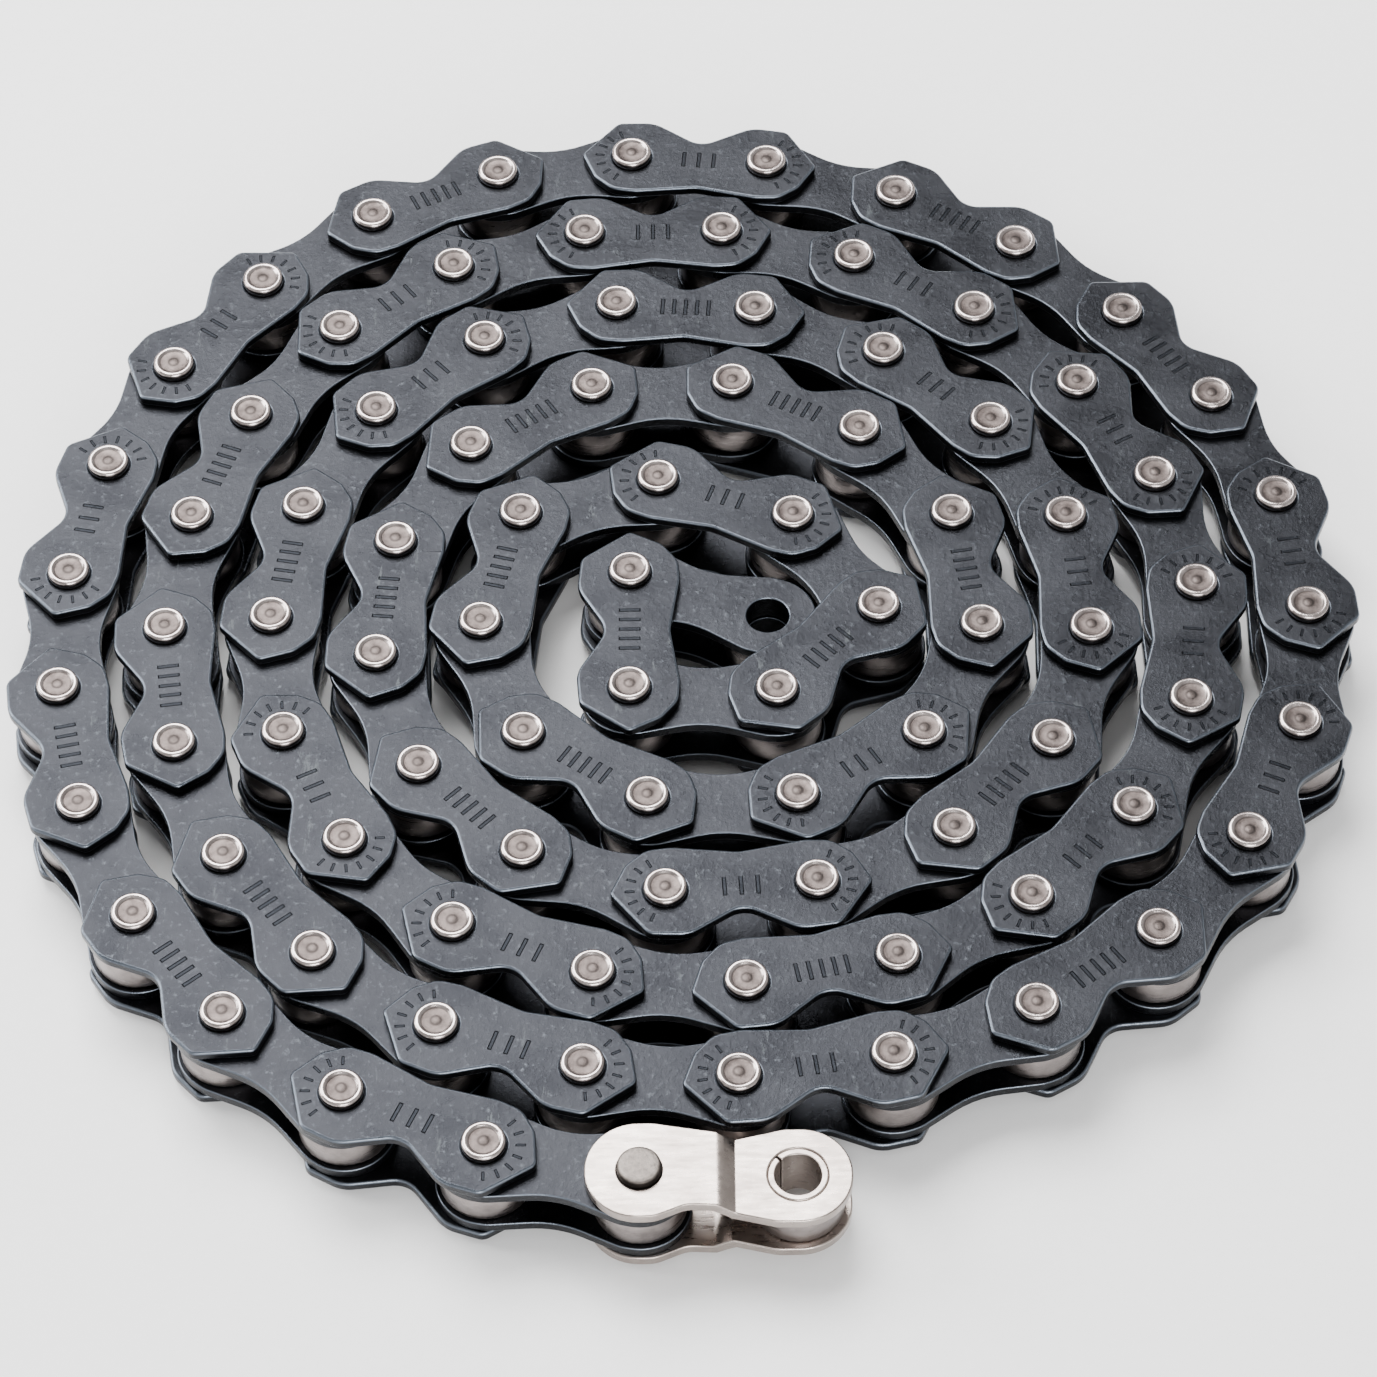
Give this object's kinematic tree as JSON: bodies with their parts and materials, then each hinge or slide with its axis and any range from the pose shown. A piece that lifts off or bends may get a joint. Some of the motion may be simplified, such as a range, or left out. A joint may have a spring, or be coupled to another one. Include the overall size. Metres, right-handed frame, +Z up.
{
  "type": "bicycle drive chain",
  "caption": "Half-inch pitch bicycle roller chain with a cranked half link, lying on its side in a flat coil, with a tail of links that swing open.",
  "frame": {"origin": "middle of the coil's box in plan, on the surface that the coil lies on", "axes": "+Z up, along every pin"},
  "size_m": [0.1172, 0.1206, 0.009],
  "materials": {
    "blued_steel": "satin",
    "rivet_steel": "satin",
    "roller_steel": "satin",
    "nickel_steel": "satin"
  },
  "bodies": {
    "coil": {"coil_outer_plates_top": "blued_steel", "coil_outer_plates_bottom": "blued_steel", "coil_inner_plates_top": "blued_steel", "coil_inner_plates_bottom": "blued_steel", "coil_rollers": "roller_steel", "coil_rivets": "rivet_steel"},
    "outer_link_6": {"outer_link_6_plate_top": "blued_steel", "outer_link_6_plate_bottom": "blued_steel", "outer_link_6_rivets": "rivet_steel"},
    "inner_link_6": {"inner_link_6_plate_top": "blued_steel", "inner_link_6_plate_bottom": "blued_steel"},
    "inner_link_6_roller_a": {"inner_link_6_roller_a": "roller_steel"},
    "inner_link_6_roller_b": {"inner_link_6_roller_b": "roller_steel"},
    "outer_link_5": {"outer_link_5_plate_top": "blued_steel", "outer_link_5_plate_bottom": "blued_steel", "outer_link_5_rivets": "rivet_steel"},
    "inner_link_5": {"inner_link_5_plate_top": "blued_steel", "inner_link_5_plate_bottom": "blued_steel"},
    "inner_link_5_roller_a": {"inner_link_5_roller_a": "roller_steel"},
    "inner_link_5_roller_b": {"inner_link_5_roller_b": "roller_steel"},
    "outer_link_4": {"outer_link_4_plate_top": "blued_steel", "outer_link_4_plate_bottom": "blued_steel", "outer_link_4_rivets": "rivet_steel"},
    "inner_link_4": {"inner_link_4_plate_top": "blued_steel", "inner_link_4_plate_bottom": "blued_steel"},
    "inner_link_4_roller_a": {"inner_link_4_roller_a": "roller_steel"},
    "inner_link_4_roller_b": {"inner_link_4_roller_b": "roller_steel"},
    "outer_link_3": {"outer_link_3_plate_top": "blued_steel", "outer_link_3_plate_bottom": "blued_steel", "outer_link_3_rivets": "rivet_steel"},
    "inner_link_3": {"inner_link_3_plate_top": "blued_steel", "inner_link_3_plate_bottom": "blued_steel"},
    "inner_link_3_roller_a": {"inner_link_3_roller_a": "roller_steel"},
    "inner_link_3_roller_b": {"inner_link_3_roller_b": "roller_steel"},
    "outer_link_2": {"outer_link_2_plate_top": "blued_steel", "outer_link_2_plate_bottom": "blued_steel", "outer_link_2_rivets": "rivet_steel"},
    "inner_link_2": {"inner_link_2_plate_top": "blued_steel", "inner_link_2_plate_bottom": "blued_steel"},
    "inner_link_2_roller_a": {"inner_link_2_roller_a": "roller_steel"},
    "inner_link_2_roller_b": {"inner_link_2_roller_b": "roller_steel"},
    "outer_link_1": {"outer_link_1_plate_top": "blued_steel", "outer_link_1_plate_bottom": "blued_steel", "outer_link_1_rivets": "rivet_steel"},
    "inner_link_1": {"inner_link_1_plate_top": "blued_steel", "inner_link_1_plate_bottom": "blued_steel"},
    "inner_link_1_roller_a": {"inner_link_1_roller_a": "roller_steel"},
    "inner_link_1_roller_b": {"inner_link_1_roller_b": "roller_steel"},
    "half_link": {"half_link_plate_top": "nickel_steel", "half_link_plate_bottom": "nickel_steel", "half_link_bushing": "nickel_steel", "half_link_rivet": "rivet_steel"},
    "half_link_roller": {"half_link_roller": "roller_steel"},
    "end_inner_link": {"end_inner_link_plate_top": "blued_steel", "end_inner_link_plate_bottom": "blued_steel"},
    "end_inner_link_roller_a": {"end_inner_link_roller_a": "roller_steel"},
    "end_inner_link_roller_b": {"end_inner_link_roller_b": "roller_steel"}
  },
  "joints": [
    {"name": "pin_13_hinge", "type": "hinge", "parent": "coil", "child": "outer_link_6", "pos_m": [-0.01655, 0.05388, 0.0045], "axis": [0, 0, -1], "range_deg": [0, 30]},
    {"name": "pin_12_hinge", "type": "hinge", "parent": "outer_link_6", "child": "inner_link_6", "pos_m": [-0.02817, 0.04877, 0.0045], "axis": [0, 0, -1], "range_deg": [0, 30]},
    {"name": "inner_link_6_roller_a_spin", "type": "hinge", "parent": "inner_link_6", "child": "inner_link_6_roller_a", "pos_m": [-0.03811, 0.04086, 0.0045], "axis": [0, 0, 1], "continuous": true},
    {"name": "inner_link_6_roller_b_spin", "type": "hinge", "parent": "inner_link_6", "child": "inner_link_6_roller_b", "pos_m": [-0.02817, 0.04877, 0.0045], "axis": [0, 0, 1], "continuous": true},
    {"name": "pin_11_hinge", "type": "hinge", "parent": "inner_link_6", "child": "outer_link_5", "pos_m": [-0.03811, 0.04086, 0.0045], "axis": [0, 0, -1], "range_deg": [0, 30]},
    {"name": "pin_10_hinge", "type": "hinge", "parent": "outer_link_5", "child": "inner_link_5", "pos_m": [-0.04585, 0.0308, 0.0045], "axis": [0, 0, -1], "range_deg": [0, 30]},
    {"name": "inner_link_5_roller_a_spin", "type": "hinge", "parent": "inner_link_5", "child": "inner_link_5_roller_a", "pos_m": [-0.05116, 0.01926, 0.0045], "axis": [0, 0, 1], "continuous": true},
    {"name": "inner_link_5_roller_b_spin", "type": "hinge", "parent": "inner_link_5", "child": "inner_link_5_roller_b", "pos_m": [-0.04585, 0.0308, 0.0045], "axis": [0, 0, 1], "continuous": true},
    {"name": "pin_09_hinge", "type": "hinge", "parent": "inner_link_5", "child": "outer_link_4", "pos_m": [-0.05116, 0.01926, 0.0045], "axis": [0, 0, -1], "range_deg": [0, 30]},
    {"name": "pin_08_hinge", "type": "hinge", "parent": "outer_link_4", "child": "inner_link_4", "pos_m": [-0.05393, 0.00687, 0.0045], "axis": [0, 0, -1], "range_deg": [0, 30]},
    {"name": "inner_link_4_roller_a_spin", "type": "hinge", "parent": "inner_link_4", "child": "inner_link_4_roller_a", "pos_m": [-0.05412, -0.00583, 0.0045], "axis": [0, 0, 1], "continuous": true},
    {"name": "inner_link_4_roller_b_spin", "type": "hinge", "parent": "inner_link_4", "child": "inner_link_4_roller_b", "pos_m": [-0.05393, 0.00687, 0.0045], "axis": [0, 0, 1], "continuous": true},
    {"name": "pin_07_hinge", "type": "hinge", "parent": "inner_link_4", "child": "outer_link_3", "pos_m": [-0.05412, -0.00583, 0.0045], "axis": [0, 0, -1], "range_deg": [0, 30]},
    {"name": "pin_06_hinge", "type": "hinge", "parent": "outer_link_3", "child": "inner_link_3", "pos_m": [-0.0516, -0.01828, 0.0045], "axis": [0, 0, -1], "range_deg": [0, 30]},
    {"name": "inner_link_3_roller_a_spin", "type": "hinge", "parent": "inner_link_3", "child": "inner_link_3_roller_a", "pos_m": [-0.04636, -0.02985, 0.0045], "axis": [0, 0, 1], "continuous": true},
    {"name": "inner_link_3_roller_b_spin", "type": "hinge", "parent": "inner_link_3", "child": "inner_link_3_roller_b", "pos_m": [-0.0516, -0.01828, 0.0045], "axis": [0, 0, 1], "continuous": true},
    {"name": "pin_05_hinge", "type": "hinge", "parent": "inner_link_3", "child": "outer_link_2", "pos_m": [-0.04636, -0.02985, 0.0045], "axis": [0, 0, -1], "range_deg": [0, 30]},
    {"name": "pin_04_hinge", "type": "hinge", "parent": "outer_link_2", "child": "inner_link_2", "pos_m": [-0.03855, -0.03986, 0.0045], "axis": [0, 0, -1], "range_deg": [0, 30]},
    {"name": "inner_link_2_roller_a_spin", "type": "hinge", "parent": "inner_link_2", "child": "inner_link_2_roller_a", "pos_m": [-0.02857, -0.04772, 0.0045], "axis": [0, 0, 1], "continuous": true},
    {"name": "inner_link_2_roller_b_spin", "type": "hinge", "parent": "inner_link_2", "child": "inner_link_2_roller_b", "pos_m": [-0.03855, -0.03986, 0.0045], "axis": [0, 0, 1], "continuous": true},
    {"name": "pin_03_hinge", "type": "hinge", "parent": "inner_link_2", "child": "outer_link_1", "pos_m": [-0.02857, -0.04772, 0.0045], "axis": [0, 0, -1], "range_deg": [0, 30]},
    {"name": "pin_02_hinge", "type": "hinge", "parent": "outer_link_1", "child": "inner_link_1", "pos_m": [-0.01704, -0.05305, 0.0045], "axis": [0, 0, -1], "range_deg": [0, 30]},
    {"name": "inner_link_1_roller_a_spin", "type": "hinge", "parent": "inner_link_1", "child": "inner_link_1_roller_a", "pos_m": [-0.00463, -0.05573, 0.0045], "axis": [0, 0, 1], "continuous": true},
    {"name": "inner_link_1_roller_b_spin", "type": "hinge", "parent": "inner_link_1", "child": "inner_link_1_roller_b", "pos_m": [-0.01704, -0.05305, 0.0045], "axis": [0, 0, 1], "continuous": true},
    {"name": "pin_01_hinge", "type": "hinge", "parent": "inner_link_1", "child": "half_link", "pos_m": [-0.00463, -0.05573, 0.0045], "axis": [0, 0, -1], "range_deg": [0, 30]},
    {"name": "half_link_roller_spin", "type": "hinge", "parent": "half_link", "child": "half_link_roller", "pos_m": [0.00807, -0.05585, 0.0045], "axis": [0, 0, 1], "continuous": true},
    {"name": "pin_89_hinge", "type": "hinge", "parent": "coil", "child": "end_inner_link", "pos_m": [-0.0047, 0.00552, 0.0045], "axis": [0, 0, -1], "range_deg": [-2, 2]},
    {"name": "end_inner_link_roller_a_spin", "type": "hinge", "parent": "end_inner_link", "child": "end_inner_link_roller_a", "pos_m": [-0.0047, 0.00552, 0.0045], "axis": [0, 0, 1], "continuous": true},
    {"name": "end_inner_link_roller_b_spin", "type": "hinge", "parent": "end_inner_link", "child": "end_inner_link_roller_b", "pos_m": [0.00725, 0.00121, 0.0045], "axis": [0, 0, 1], "continuous": true}
  ]
}
